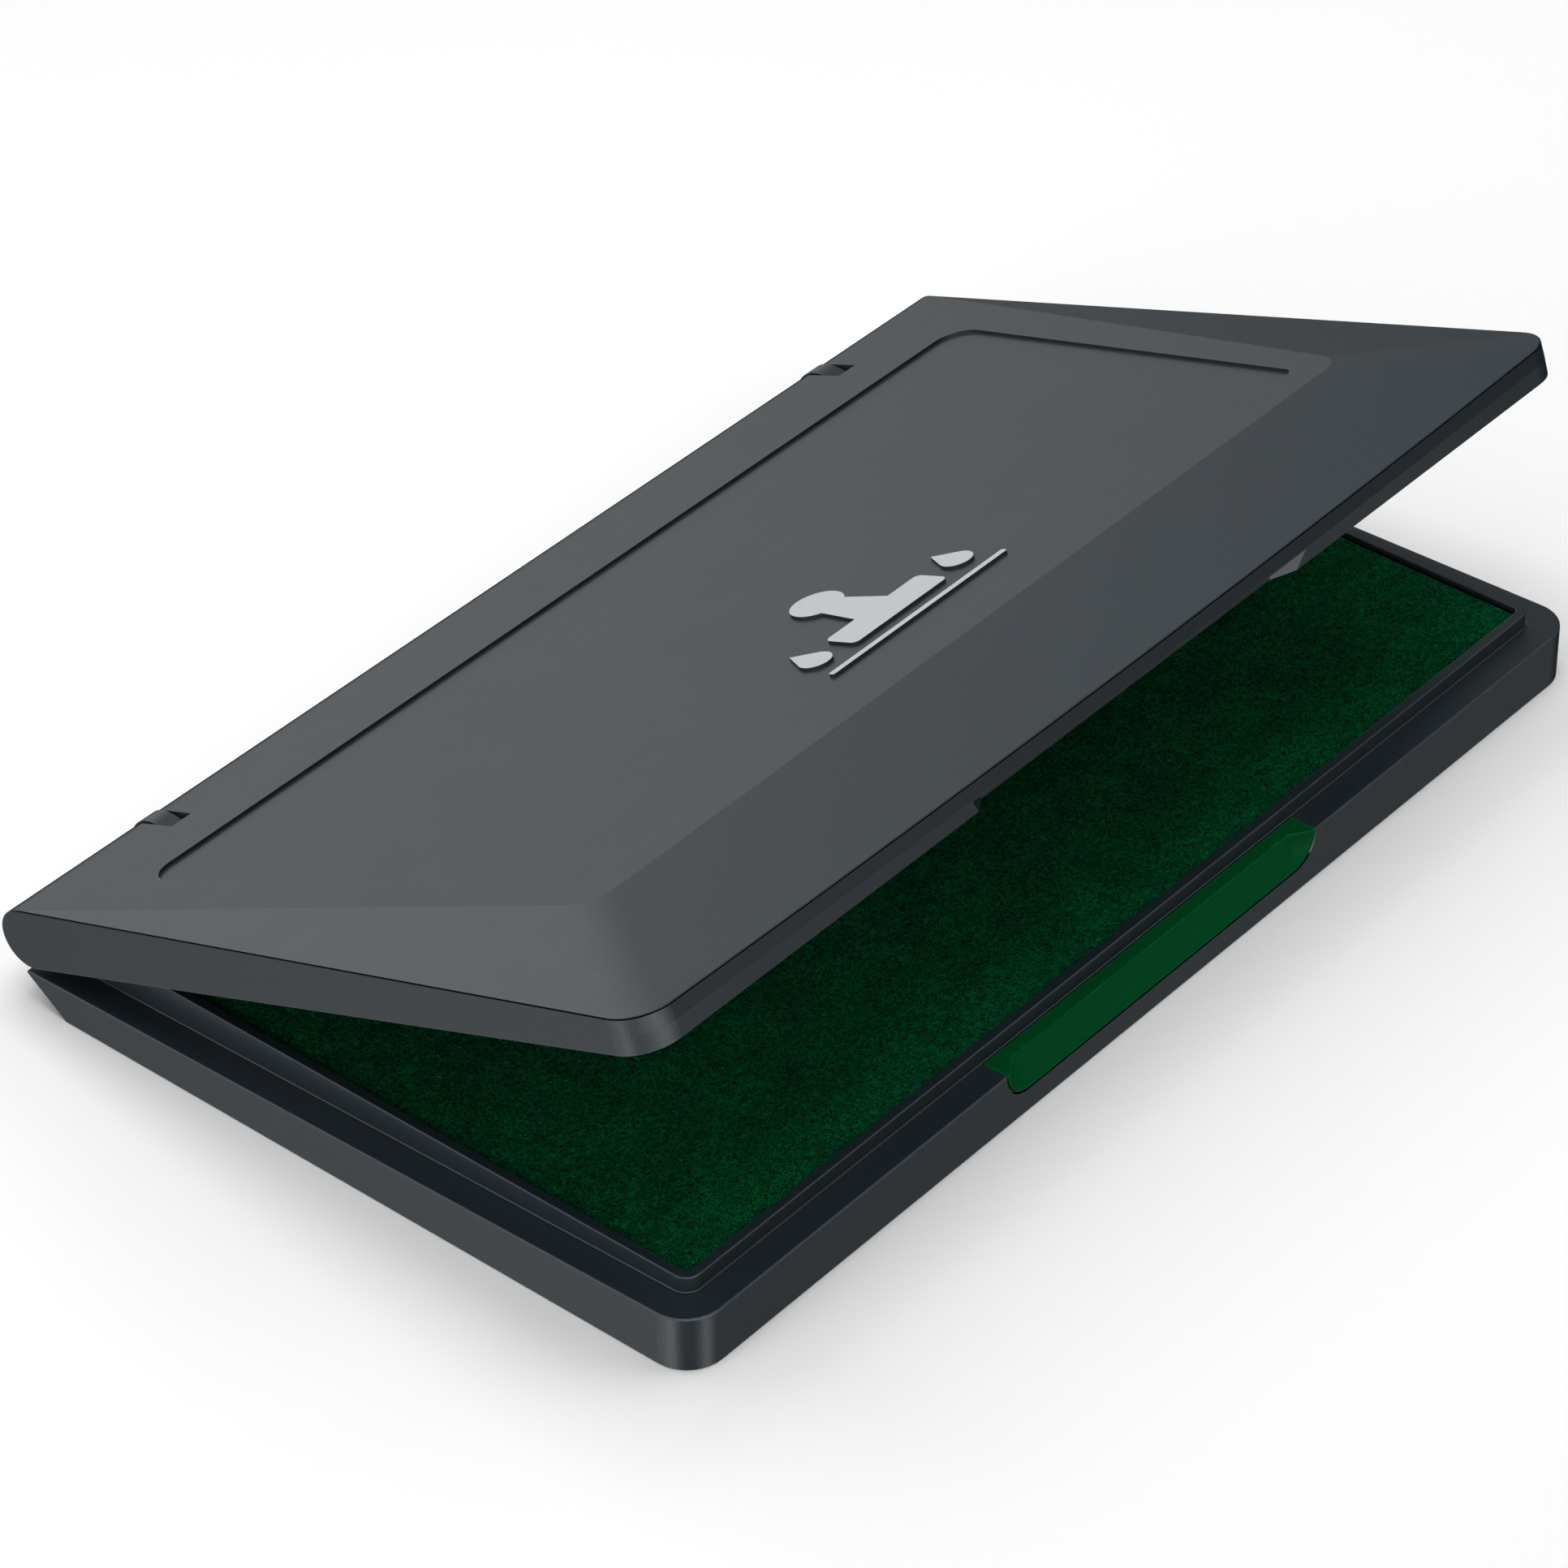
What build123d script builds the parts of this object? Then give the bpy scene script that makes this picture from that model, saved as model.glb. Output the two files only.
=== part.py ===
"""Desk ink pad: wedge-shaped case with a raised pad tray, a coloured grip insert and a hinged lid.

Millimetres. +X runs along the front edge to the right, +Y towards the hinge, +Z up.
The origin lies on the underside of the case, midway across its width and rim depth.
The lid is modelled in its half-open resting position, turned about the hinge axis.
"""

import os
from math import atan, cos, radians, sin

from build123d import *

os.makedirs("parts", exist_ok=True)

# Case
case_width = 168.8
case_depth = 102.8
rim_height_front = 7.54
rim_height_back = 4.70
corner_radius = 5.0
back_lean = 6.4
case_floor = 1.6
case_wall = 1.8
edge_round = 0.25
opening_round = 0.2
opening_taper = 45.0
underside_chamfer = 0.12

# Pad tray and what lies in it
felt_width = 158.0
felt_depth = 90.8
tray_wall = 1.3
tray_height = 9.55
tray_front = 3.92
tray_floor = 1.2
tray_corner = 2.0
tray_edge = 0.16
seam_lip_gap = 0.02
seam_lip_height = 0.10
seam_lip_reach = 0.16
fit_gap = 0.1
backing_thickness = 0.8
core_thickness = 5.0
cover_thickness = 0.55
felt_clearance = 0.15

# Grip insert in the front rim
grip_half_width = 29.4
grip_depth = 3.6
grip_lip = 3.5
grip_end_radius = 4.0
grip_edge = 0.35
scoop_depth = 1.3
scoop_end_setback = 2.6
scoop_lean = 0.35
ledge_front = 1.84
nub_spacing = 24.0
nub_setback = 2.3
nub_length = 1.2
nub_width = 0.6
nub_height = 0.12

# Hinge
hinge_setback = 101.82
hinge_height = 9.47
hinge_pitch = 61.45
nose_radius = 3.9
arm_radius = 4.1
arm_front_radius = 4.65
arm_reach = 4.4
arm_width = 2.7
arm_web = 4.6
arm_web_height = 6.0
arm_web_middle = -1.6
notch_width = 3.3
notch_front = 4.85
pin_radius = 1.0
pin_length = 11.0
pin_running_gap = 0.05
boss_width = 4.2

# Lid, in its own frame: origin on the hinge axis, lid_y towards the back, lid_z up when closed
lid_open_angle = 20.1
lid_wall = 1.6
lid_front = -102.67
lid_bottom_front = -1.70
lid_edge_front = 2.60
lid_crease = 0.50
front_bulge = 1.30
plateau_front = -82.1
plateau_rise = 1.91
side_bevel = 15.7
bevel_blend = 25.0
grip_notch_height = 0.30
panel_depth = 0.45
panel_back = -12.6
panel_front = -77.3
panel_half_back = 75.0
panel_half_front = 65.2
panel_corner_back = 3.8
panel_corner_front = 1.6
liner_thickness = 1.0
liner_bottom = 0.45
liner_back = -6.5
liner_bays = 3

# Emblem on the lid's panel: a plain picture of a hand stamp and its inked line
emblem_height = 0.4
emblem_top = -51.0
emblem_foot = -71.0
emblem_line_half = 16.0
emblem_line_width = 0.9
stamp_knob = 3.4
stamp_block_half = 8.5
stamp_block_height = 5.0
stamp_neck_half = 1.7
drop_radius = 2.1
drop_spacing = 13.0
drop_flank = 30.0

half_width = case_width / 2
front_y = -case_depth / 2
back_y = case_depth / 2
hinge_y = front_y + hinge_setback
tray_half_width = felt_width / 2 + tray_wall
tray_front_y = front_y + tray_front
tray_back_y = tray_front_y + felt_depth + 2 * tray_wall
tray_middle_y = (tray_front_y + tray_back_y) / 2
tray_depth = tray_back_y - tray_front_y

rim_slope = atan((rim_height_front - rim_height_back) / case_depth)
rim_plane = Plane((0, front_y, rim_height_front), x_dir=(1, 0, 0), z_dir=(0, sin(rim_slope), cos(rim_slope)))
case_side = Plane((0, front_y, 0), x_dir=(0, 1, 0), z_dir=(1, 0, 0))

tilt = radians(lid_open_angle)
lid_plane = Plane((0, hinge_y, hinge_height), x_dir=(1, 0, 0), z_dir=(0, sin(tilt), cos(tilt)))
lid_side = Plane((0, hinge_y, hinge_height), x_dir=(0, cos(tilt), -sin(tilt)), z_dir=(1, 0, 0))


def lid_point(x, y, z):
    """A point of the lid's own frame."""
    return lid_plane.from_local_coords(Vector(x, y, z))


def case_outline(half, front, back):
    """Outline seen from above: square at the back, round at the two front corners."""
    with BuildSketch() as outline:
        with Locations((0, (front + back) / 2)):
            Rectangle(2 * half, back - front)
        fillet(outline.vertices().group_by(Axis.Y)[0], corner_radius)
    return outline.sketch


# ---------------------------------------------------------------- case
with BuildPart() as side_hollow:
    # The hollow under the side and back rims, stopping short of the grip insert at the front
    with BuildSketch(Plane.XY.offset(case_floor)):
        with Locations((0, tray_middle_y)):
            Rectangle(2 * (half_width - case_wall), tray_depth)
    extrude(amount=rim_height_front)
    split(bisect_by=rim_plane.offset(-case_wall), keep=Keep.BOTTOM)
    with BuildSketch(case_side):
        with BuildLine():
            Polyline(
                (0, 0),
                (case_depth - back_lean - case_wall, 0),
                (case_depth - 2 * case_wall, rim_height_back),
                (0, rim_height_front),
                close=True,
            )
        make_face()
    extrude(amount=half_width, both=True, mode=Mode.INTERSECT)


def grip_face(gap):
    """Front view of the grip insert: flat top, round lower corners, grown by gap."""
    half = grip_half_width + gap
    low = grip_lip - gap
    shoulder = low + grip_end_radius
    top = 2 * rim_height_front
    with BuildSketch() as face:
        with BuildLine():
            Polyline((-half, shoulder), (-half, top), (half, top), (half, shoulder))
            RadiusArc((half, shoulder), (half - grip_end_radius, low), grip_end_radius)
            Line((half - grip_end_radius, low), (grip_end_radius - half, low))
            RadiusArc((grip_end_radius - half, low), (-half, shoulder), grip_end_radius)
        make_face()
    return face.sketch


front_face = Plane((0, front_y, 0), x_dir=(1, 0, 0), z_dir=(0, -1, 0))


def hinge_section(x):
    """Upright plane across the hinge axis, x from the middle of the case."""
    return Plane((x, hinge_y, hinge_height), x_dir=(0, 1, 0), z_dir=(1, 0, 0))


with BuildPart() as grip_envelope:
    with BuildSketch(front_face):
        add(grip_face(0))
    extrude(amount=-grip_depth)
    split(bisect_by=rim_plane, keep=Keep.BOTTOM)


def is_tray_rim(edge):
    """Whether an edge of the case lies on the rim's top around the tray."""
    low, high = edge.bounding_box().min, edge.bounding_box().max
    reach = tray_half_width + edge_round
    on_rim = abs(rim_plane.to_local_coords(edge.center()).Z) < opening_round
    beside_tray = low.X > -reach and high.X < reach
    along_tray = low.Y > front_y + grip_depth and high.Y < tray_back_y + edge_round
    return on_rim and beside_tray and along_tray and low.Z > rim_height_back


def is_leaning_corner(edge):
    """Whether an edge runs up the leaning back wall at a side wall."""
    spot = edge.center()
    return abs(spot.Z - rim_height_back / 2) < fit_gap and abs(spot.X) > half_width - fit_gap


with BuildPart() as base_shell:
    with BuildSketch(Plane.XY):
        add(case_outline(half_width, front_y, back_y))
    extrude(amount=case_depth)
    split(bisect_by=rim_plane, keep=Keep.BOTTOM)
    with BuildSketch(case_side):
        # Side view: the back wall leans out from a shorter underside
        with BuildLine():
            Polyline(
                (0, 0),
                (case_depth - back_lean, 0),
                (case_depth, rim_height_back),
                (case_depth, case_depth),
                (0, case_depth),
                close=True,
            )
        make_face()
    extrude(amount=half_width, both=True, mode=Mode.INTERSECT)
    fillet(edges().filter_by(is_leaning_corner) + faces().sort_by(Axis.Z)[-1].edges(), edge_round)
    chamfer(faces().sort_by(Axis.Z)[0].edges().sort_by(Axis.Y)[:-1], underside_chamfer)
    add(side_hollow.part, mode=Mode.SUBTRACT)
    with BuildSketch(Plane.XY.offset(case_floor)):
        with Locations((0, tray_middle_y)):
            RectangleRounded(2 * (tray_half_width + fit_gap), tray_depth + 2 * fit_gap, tray_corner)
    extrude(amount=rim_height_front, mode=Mode.SUBTRACT)
    fillet(edges().filter_by(is_tray_rim), opening_round)
    # The grip's opening runs back into the tray's, and its front edge is broken all round
    with BuildSketch(front_face):
        add(grip_face(fit_gap))
    extrude(amount=-tray_front, mode=Mode.SUBTRACT)
    with BuildSketch(front_face):
        add(grip_face(fit_gap + opening_round))
    extrude(amount=-opening_round, taper=opening_taper, mode=Mode.SUBTRACT)
    for side in (-1, 1):
        # Hinge arm: round at the back, flat on top towards the front, on a short web from the back rim
        with BuildSketch(hinge_section(side * hinge_pitch)):
            Circle(arm_front_radius)
            with Locations((-arm_reach, 0)):
                Rectangle(arm_reach, 2 * arm_radius, align=(Align.MIN, Align.CENTER), mode=Mode.INTERSECT)
            Circle(arm_radius)
            with Locations((arm_web_middle, -arm_web_height / 2)):
                Rectangle(arm_web, arm_web_height)
            Circle(pin_radius + pin_running_gap, mode=Mode.SUBTRACT)
        extrude(amount=arm_width / 2, both=True)
base_shell.part.label = "base_shell"
export_step(base_shell.part, "parts/base_shell.step")

# ---------------------------------------------------------------- tray and pad
with BuildPart() as pad_tray:
    with BuildSketch(Plane.XY.offset(case_floor)):
        with Locations((0, tray_middle_y)):
            RectangleRounded(2 * tray_half_width, tray_depth, tray_corner)
    extrude(amount=tray_height - case_floor)
    with BuildSketch(rim_plane.offset(seam_lip_gap)):
        # Narrow bevelled lip that covers the seam between the tray and the rim
        with Locations((0, tray_middle_y - front_y)):
            RectangleRounded(
                2 * (tray_half_width + seam_lip_reach),
                tray_depth + 2 * seam_lip_reach,
                tray_corner + seam_lip_reach,
            )
    extrude(amount=seam_lip_height, taper=opening_taper)
    with BuildSketch(Plane.XY.offset(case_floor + tray_floor)):
        with Locations((0, tray_middle_y)):
            RectangleRounded(felt_width, felt_depth, tray_corner - tray_wall)
    extrude(amount=tray_height, mode=Mode.SUBTRACT)
    fillet(faces().sort_by(Axis.Z)[-1].edges(), tray_edge)
pad_tray.part.label = "pad_tray"
export_step(pad_tray.part, "parts/pad_tray.step")


def pad_layer(bottom, thickness, clearance):
    """One flat layer of the pad stack, cut to the tray."""
    width = felt_width - 2 * clearance
    depth = felt_depth - 2 * clearance
    with BuildPart() as layer:
        with BuildSketch(Plane.XY.offset(bottom)):
            with Locations((0, tray_middle_y)):
                RectangleRounded(width, depth, tray_corner - tray_wall)
        extrude(amount=thickness)
    return layer.part


backing_bottom = case_floor + tray_floor
core_bottom = backing_bottom + backing_thickness
cover_bottom = core_bottom + core_thickness

pad_layers = {
    "pad_backing": pad_layer(backing_bottom, backing_thickness, fit_gap),
    "ink_core": pad_layer(core_bottom, core_thickness, felt_clearance + fit_gap),
    "pad_cover": pad_layer(cover_bottom, cover_thickness, felt_clearance),
}
for layer_name, layer_part in pad_layers.items():
    layer_part.label = layer_name
    export_step(layer_part, f"parts/{layer_name}.step")

# ---------------------------------------------------------------- grip insert
scoop_top = 2 * rim_height_front
scoop_half = grip_half_width - grip_edge
scoop_low = grip_lip + grip_edge
end_slant = scoop_end_setback / ledge_front


def slanted_end(side):
    """Room in front of one slanted end of the scoop: its rounded outline pushed back and inwards."""
    shoulder = scoop_low + grip_end_radius
    round_start = scoop_half - grip_end_radius
    with BuildPart() as room:
        with BuildSketch(front_face):
            with BuildLine():
                Polyline(
                    (side * round_start, scoop_low),
                    (-side * case_width, scoop_low),
                    (-side * case_width, scoop_top),
                    (side * scoop_half, scoop_top),
                    (side * scoop_half, shoulder),
                )
                RadiusArc(
                    (side * scoop_half, shoulder),
                    (side * round_start, scoop_low),
                    side * grip_end_radius,
                )
            make_face()
        extrude(amount=grip_depth, dir=(-side * end_slant, 1, 0))
    return room.part


with BuildPart() as scoop:
    # Finger scoop: a hollow profile run along the front, closed by two slanted ends
    with BuildSketch(case_side):
        with BuildLine():
            Line((0, scoop_low), (0, scoop_top))
            Line((0, scoop_top), (ledge_front, scoop_top))
            Line((ledge_front, scoop_top), (ledge_front, rim_height_front - grip_edge))
            Spline(
                (ledge_front, rim_height_front - grip_edge),
                (scoop_depth, (scoop_low + rim_height_front) / 2),
                (0, scoop_low),
                tangents=[(-scoop_lean, -1), (-1, -scoop_lean)],
            )
        make_face()
    extrude(amount=grip_half_width, both=True)
    add(slanted_end(1), mode=Mode.INTERSECT)
    add(slanted_end(-1), mode=Mode.INTERSECT)

with BuildPart() as grip_insert:
    add(grip_envelope.part)
    add(scoop.part, mode=Mode.SUBTRACT)
    with BuildSketch(rim_plane):
        # Small nubs that space the closed lid off the ledge
        with Locations((-nub_spacing, nub_setback), (nub_spacing, nub_setback)):
            SlotOverall(nub_length, nub_width)
    extrude(amount=nub_height)
grip_insert.part.label = "grip_insert"
export_step(grip_insert.part, "parts/grip_insert.step")

# ---------------------------------------------------------------- lid
bevel_slope = (plateau_rise + nose_radius - lid_edge_front) / (plateau_front - lid_front)
edge_slope = (nose_radius - lid_edge_front) / -lid_front
bottom_slope = (nose_radius + lid_bottom_front) / -lid_front
plateau_tilt = atan(plateau_rise / -plateau_front)
lid_reach = lid_front - 2 * front_bulge
lid_margin = 2 * nose_radius
tall = 2 * lid_margin


def side_bevel_plane(side, wall):
    """Plane of the left or right bevel of the lid, moved inwards by a wall."""
    back_corner = lid_point(side * half_width, 0, nose_radius)
    front_corner = lid_point(side * half_width, lid_front, lid_edge_front)
    plateau_corner = lid_point(side * (half_width - side_bevel), plateau_front, nose_radius + plateau_rise)
    normal = (front_corner - back_corner).cross(plateau_corner - back_corner)
    if normal.Z < 0:
        normal = -normal
    return Plane(origin=back_corner, z_dir=normal).offset(-wall)


def lid_side_view(wall, drop):
    """Side view of the lid, shrunk by a wall and let down by drop below its lower edge."""
    top = nose_radius - wall
    ridge = top + plateau_rise
    front = lid_front + wall if wall else lid_reach
    brow = ridge + (front - plateau_front) * bevel_slope
    foot = lid_bottom_front - drop
    with BuildSketch() as view:
        with BuildLine():
            Polyline((0, top), (plateau_front, ridge), (front, brow), (front, foot), (0, -top - drop))
            if drop:
                Line((0, -top - drop), (0, -top))
            ThreePointArc((0, -top), (top, 0), (0, top))
        make_face()
    return view.sketch


def lid_block(wall, drop):
    """The lid's roof shape as a solid block: plateau, front bevel, side bevels and round back."""
    with BuildPart() as block:
        with BuildSketch(lid_side):
            add(lid_side_view(wall, drop))
        extrude(amount=half_width - wall, both=True)
        for side in (-1, 1):
            split(bisect_by=side_bevel_plane(side, wall), keep=Keep.BOTTOM)
    return block.part


def lid_outline(bulge):
    """Lid seen from above: like the case outline, with a bowed front edge."""
    with BuildSketch() as outline:
        with BuildLine():
            Polyline(
                (-half_width, lid_front),
                (-half_width, lid_margin),
                (half_width, lid_margin),
                (half_width, lid_front),
            )
            if bulge:
                ThreePointArc((half_width, lid_front), (0, lid_front - bulge), (-half_width, lid_front))
            else:
                Line((half_width, lid_front), (-half_width, lid_front))
        make_face()
        fillet(outline.vertices().group_by(Axis.Y)[0], corner_radius)
    return outline.sketch


with BuildPart() as lid_envelope:
    # Straight lower front wall that swells to a bowed upper band
    with BuildSketch(lid_plane.offset(lid_bottom_front - edge_round)):
        add(lid_outline(0))
    with BuildSketch(lid_plane.offset(lid_crease)):
        add(lid_outline(front_bulge))
    loft(ruled=True)
    with BuildSketch(lid_plane.offset(lid_bottom_front - edge_round)):
        add(lid_outline(0))
    extrude(amount=-lid_margin)
    with BuildSketch(lid_plane.offset(lid_crease)):
        add(lid_outline(front_bulge))
    extrude(amount=lid_margin)


def bevel_seam(block, side):
    """The slanted edge between the front bevel and one side bevel."""
    brow_corner = lid_point(side * half_width, lid_front, lid_edge_front)
    plateau_corner = lid_point(side * (half_width - side_bevel), plateau_front, nose_radius + plateau_rise)
    middle = Vertex(*((brow_corner + plateau_corner) / 2))
    return block.edges().sort_by(lambda edge: edge.distance_to(middle))[0]


lid_roof = lid_block(0, 0)
lid_roof = lid_roof.fillet(bevel_blend, [bevel_seam(lid_roof, -1), bevel_seam(lid_roof, 1)])
plateau_plane = Plane(
    lid_point(0, 0, nose_radius),
    x_dir=(1, 0, 0),
    z_dir=lid_point(0, sin(plateau_tilt), cos(plateau_tilt)) - lid_plane.origin,
)

liner_top = liner_bottom + liner_thickness
liner_width = felt_width - lid_wall
liner_depth = liner_back - (lid_front + ledge_front + 3 * lid_wall)
liner_middle = liner_back - liner_depth / 2


def lid_disc_plane(x):
    """Plane across the hinge axis, x from the middle of the lid."""
    return Plane(lid_point(x, 0, 0), x_dir=lid_side.x_dir, z_dir=(1, 0, 0))


def grip_notch(front, half, depth):
    """Plan of the finger notch in the lid's front wall: a trapezoid that narrows inwards."""
    with BuildSketch() as notch:
        with BuildLine():
            Polyline(
                (-half - end_slant * depth, front - depth),
                (half + end_slant * depth, front - depth),
                (half - end_slant * depth, front + depth),
                (end_slant * depth - half, front + depth),
                close=True,
            )
        make_face()
    return notch.sketch


def is_brow(edge):
    """Whether an edge runs along the top of the lid's front or side walls."""
    spot = lid_plane.to_local_coords(edge.center())
    near_wall = corner_radius / 4
    beside_wall = abs(spot.X) > half_width - near_wall or spot.Y < lid_front + near_wall
    return beside_wall and spot.Z > lid_crease


with BuildPart() as lid_hollow:
    # Room inside the lid, minus the bar behind the finger notch, the pin bosses and the liner ribs
    add(lid_block(lid_wall, lid_margin))
    with BuildSketch(lid_plane):
        with Locations((0, (lid_front + lid_wall + nose_radius) / 2)):
            Rectangle(2 * (half_width - lid_wall), nose_radius - lid_front - lid_wall)
        fillet(vertices().group_by(Axis.Y)[0], corner_radius - lid_wall)
    extrude(amount=tall, both=True, mode=Mode.INTERSECT)
    with BuildSketch(lid_plane):
        with Locations((0, lid_front + lid_wall)):
            Rectangle(2 * (grip_half_width + lid_wall), 2 * (ledge_front + lid_wall / 2))
    extrude(amount=tall, both=True, mode=Mode.SUBTRACT)
    for side in (-1, 1):
        for flank in (-1, 1):
            boss_middle = side * hinge_pitch + flank * (notch_width + boss_width) / 2
            with BuildSketch(lid_disc_plane(boss_middle)):
                Circle(nose_radius)
            extrude(amount=boss_width / 2, both=True, mode=Mode.SUBTRACT)
    with BuildSketch(lid_plane.offset(liner_top)):
        with Locations((0, liner_middle)):
            Rectangle(liner_width - 2 * lid_wall, liner_depth - 2 * lid_wall)
            Rectangle(liner_width - 4 * lid_wall, liner_depth - 4 * lid_wall, mode=Mode.SUBTRACT)
        with GridLocations(liner_width / liner_bays, 0, liner_bays - 1, 1):
            with Locations((0, liner_middle)):
                Rectangle(lid_wall, liner_depth - 2 * lid_wall)
    extrude(amount=lid_margin, mode=Mode.SUBTRACT)

with BuildPart() as lid_shell:
    add(lid_roof)
    add(lid_envelope.part, mode=Mode.INTERSECT)
    fillet(edges().filter_by(is_brow), edge_round)
    with BuildSketch(plateau_plane):
        # Shallow panel that holds the emblem
        with BuildLine():
            Polyline(
                (-panel_half_back, panel_back),
                (-panel_half_front, panel_front),
                (panel_half_front, panel_front),
                (panel_half_back, panel_back),
                close=True,
            )
        make_face()
        fillet(vertices().group_by(Axis.Y)[-1], panel_corner_back)
        fillet(vertices().group_by(Axis.Y)[0], panel_corner_front)
    extrude(amount=-panel_depth, mode=Mode.SUBTRACT)
    add(lid_hollow.part, mode=Mode.SUBTRACT)
    with BuildSketch(lid_plane.offset(-lid_margin)):
        add(grip_notch(lid_front, grip_half_width, ledge_front))
    extrude(amount=lid_margin + grip_notch_height, mode=Mode.SUBTRACT)
    for side in (-1, 1):
        # Notch that the hinge arm stands in, and the bores on either side of it that hold the pin
        with BuildSketch(lid_disc_plane(side * hinge_pitch)):
            with Locations((nose_radius - notch_front / 2, 0)):
                Rectangle(notch_front + lid_margin, tall)
        extrude(amount=notch_width / 2, both=True, mode=Mode.SUBTRACT)
        with BuildSketch(lid_disc_plane(side * hinge_pitch)):
            Circle(pin_radius)
        extrude(amount=pin_length / 2, both=True, mode=Mode.SUBTRACT)
lid_shell.part.label = "lid_shell"
export_step(lid_shell.part, "parts/lid_shell.step")

with BuildPart() as lid_liner:
    # Flat inner cover that closes down over the pad
    with BuildSketch(lid_plane.offset(liner_bottom)):
        with Locations((0, liner_middle)):
            RectangleRounded(liner_width, liner_depth, tray_corner)
    extrude(amount=liner_thickness)
lid_liner.part.label = "lid_liner"
export_step(lid_liner.part, "parts/lid_liner.step")

for side, side_name in ((-1, "left"), (1, "right")):
    with BuildPart() as hinge_pin:
        with BuildSketch(lid_disc_plane(side * hinge_pitch)):
            Circle(pin_radius)
        extrude(amount=pin_length / 2, both=True)
    hinge_pin.part.label = f"hinge_pin_{side_name}"
    export_step(hinge_pin.part, f"parts/hinge_pin_{side_name}.step")

with BuildPart() as lid_emblem:
    knob_middle = emblem_top - stamp_knob
    block_foot = emblem_foot + 3 * emblem_line_width
    block_middle = block_foot + stamp_block_height / 2
    drop_shoulder = drop_radius * cos(radians(drop_flank))
    drop_rise = drop_radius * sin(radians(drop_flank))
    with BuildSketch(plateau_plane.offset(-panel_depth)):
        with Locations((0, knob_middle)):
            Circle(stamp_knob)
        with BuildLine():
            Polyline(
                (-stamp_neck_half, knob_middle),
                (stamp_neck_half, knob_middle),
                (2 * stamp_neck_half, block_middle),
                (-2 * stamp_neck_half, block_middle),
                close=True,
            )
        make_face()
        with Locations((0, block_middle)):
            RectangleRounded(2 * stamp_block_half, stamp_block_height, emblem_line_width)
        with Locations((0, emblem_foot)):
            RectangleRounded(2 * emblem_line_half, emblem_line_width, emblem_line_width / 3)
        for side in (-1, 1):
            with Locations((side * drop_spacing, block_middle)):
                Circle(drop_radius)
            with BuildLine():
                Polyline(
                    (side * drop_spacing - drop_shoulder, block_middle + drop_rise),
                    (side * drop_spacing + drop_shoulder, block_middle + drop_rise),
                    (side * drop_spacing, block_middle + 2 * drop_radius),
                    close=True,
                )
            make_face()
    extrude(amount=emblem_height)
lid_emblem.part.label = "lid_emblem"
export_step(lid_emblem.part, "parts/lid_emblem.step")
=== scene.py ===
"""Looks of the desk ink pad: procedural materials on the CAD nodes, a felt pad, camera and studio."""

import math

import bpy
import numpy as np
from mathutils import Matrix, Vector


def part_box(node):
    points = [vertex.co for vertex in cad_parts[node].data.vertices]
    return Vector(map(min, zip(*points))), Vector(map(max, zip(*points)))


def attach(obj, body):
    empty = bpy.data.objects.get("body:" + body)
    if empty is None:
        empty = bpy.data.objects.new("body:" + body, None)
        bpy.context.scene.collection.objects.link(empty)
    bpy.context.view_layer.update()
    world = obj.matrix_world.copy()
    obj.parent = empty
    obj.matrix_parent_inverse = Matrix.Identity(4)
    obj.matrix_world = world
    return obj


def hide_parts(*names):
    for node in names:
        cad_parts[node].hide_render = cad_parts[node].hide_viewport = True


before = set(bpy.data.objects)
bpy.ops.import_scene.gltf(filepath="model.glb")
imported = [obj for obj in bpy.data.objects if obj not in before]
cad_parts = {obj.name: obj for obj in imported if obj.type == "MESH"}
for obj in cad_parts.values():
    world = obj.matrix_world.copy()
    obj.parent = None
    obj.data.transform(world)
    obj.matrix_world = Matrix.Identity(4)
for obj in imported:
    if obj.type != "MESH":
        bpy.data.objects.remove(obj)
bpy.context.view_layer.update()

MM = 0.001

# Lamps stand round the ink pad at this distance, in metres, and are squares of this size.
LAMP_DISTANCE = 0.7
LAMP_SIZE = 0.45

# The floor reaches this far each way. Beyond the first distance it starts to glow, fully from the second.
FLOOR_REACH = 6.0
FLOOR_GLOW_FROM = 0.3
FLOOR_GLOW_FULL = 0.9
FLOOR_GLOW = 0.93


# ------------------------------------------------------------------ camera and studio
def make_camera():
    """The view of the photograph: from the left front, looking down at the half-open lid."""
    camera = bpy.data.objects.new("camera", bpy.data.cameras.new("camera"))
    bpy.context.scene.collection.objects.link(camera)
    camera.location = (-0.44033, -0.36852, 0.44781)
    camera.rotation_euler = [math.radians(a) for a in (52.4702, 0.5267, -49.9846)]
    camera.data.sensor_width = 36.0
    camera.data.lens = 138.0
    camera.data.clip_start = 0.05
    bpy.context.scene.camera = camera


def direction(azimuth, elevation):
    """Unit vector at an azimuth, counted from +X towards +Y, and an elevation, in degrees."""
    turn = math.radians(azimuth)
    rise = math.radians(elevation)
    level = math.cos(rise)
    return Vector((math.cos(turn) * level, math.sin(turn) * level, math.sin(rise)))


def softbox(name, azimuth, elevation, watts, away=1.0):
    """A square studio lamp turned to the ink pad, unseen by the camera and in reflections.

    watts is its power at the usual distance. One set further away is scaled up, so that seen from the ink
    pad it is as large and as bright.
    """
    lamp = bpy.data.objects.new(name, bpy.data.lights.new(name, "AREA"))
    bpy.context.scene.collection.objects.link(lamp)
    towards = direction(azimuth, elevation)
    lamp.location = away * LAMP_DISTANCE * towards
    lamp.rotation_euler = (-towards).to_track_quat("-Z", "Y").to_euler()
    lamp.data.size = away * LAMP_SIZE
    lamp.data.energy = away * away * watts
    lamp.visible_camera = False
    lamp.visible_glossy = False


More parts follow.
